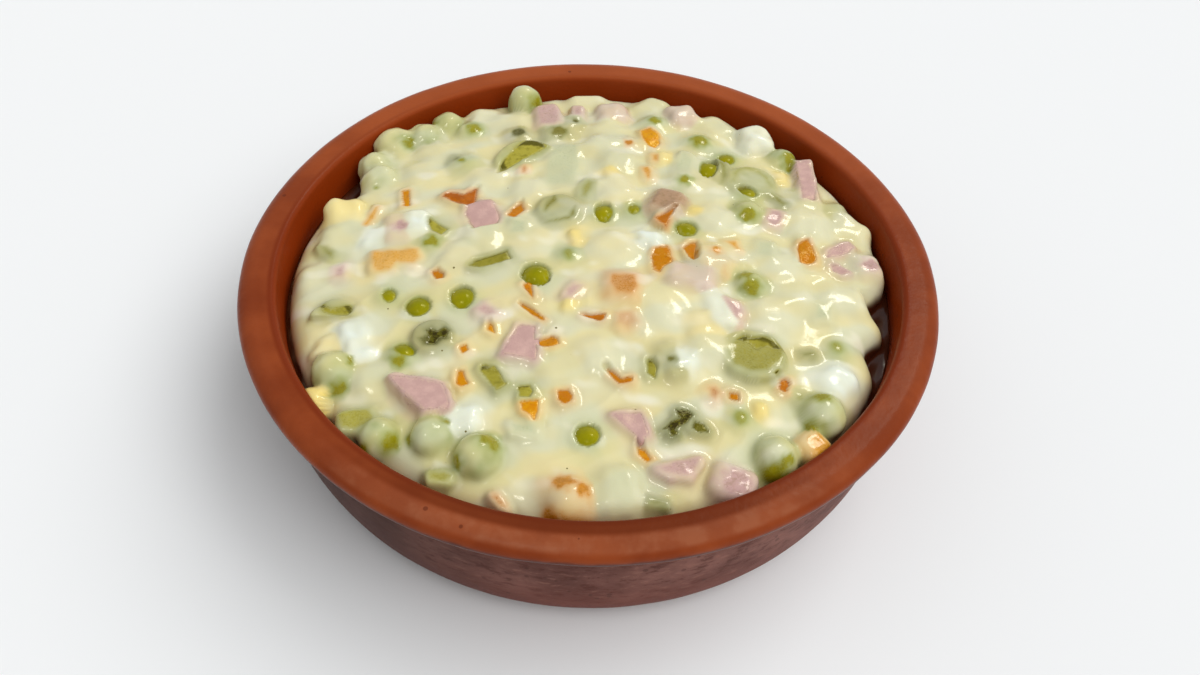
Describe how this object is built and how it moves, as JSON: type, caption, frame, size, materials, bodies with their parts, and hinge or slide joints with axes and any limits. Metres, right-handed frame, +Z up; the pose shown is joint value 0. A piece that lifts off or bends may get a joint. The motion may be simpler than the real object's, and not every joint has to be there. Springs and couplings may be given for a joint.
{
  "type": "olivier salad in a terracotta bowl",
  "caption": "Diced vegetable salad with peas, carrot, ham, egg and gherkin in mayonnaise, heaped in a round glazed terracotta bowl.",
  "frame": {"origin": "centre of the bowl's underside, on the surface it stands on", "axes": "+Z up out of the bowl, -Y towards the side shown nearest in the picture, +X to the right"},
  "size_m": [0.18, 0.18, 0.0497],
  "materials": {
    "terracotta": "clear-glazed red clay, glossy on the rim and inside, half matte outside",
    "dressed_salad": "wet glossy mayonnaise over diced vegetables"
  },
  "bodies": {
    "root": {"bowl": "terracotta", "salad": "dressed_salad"}
  },
  "joints": []
}
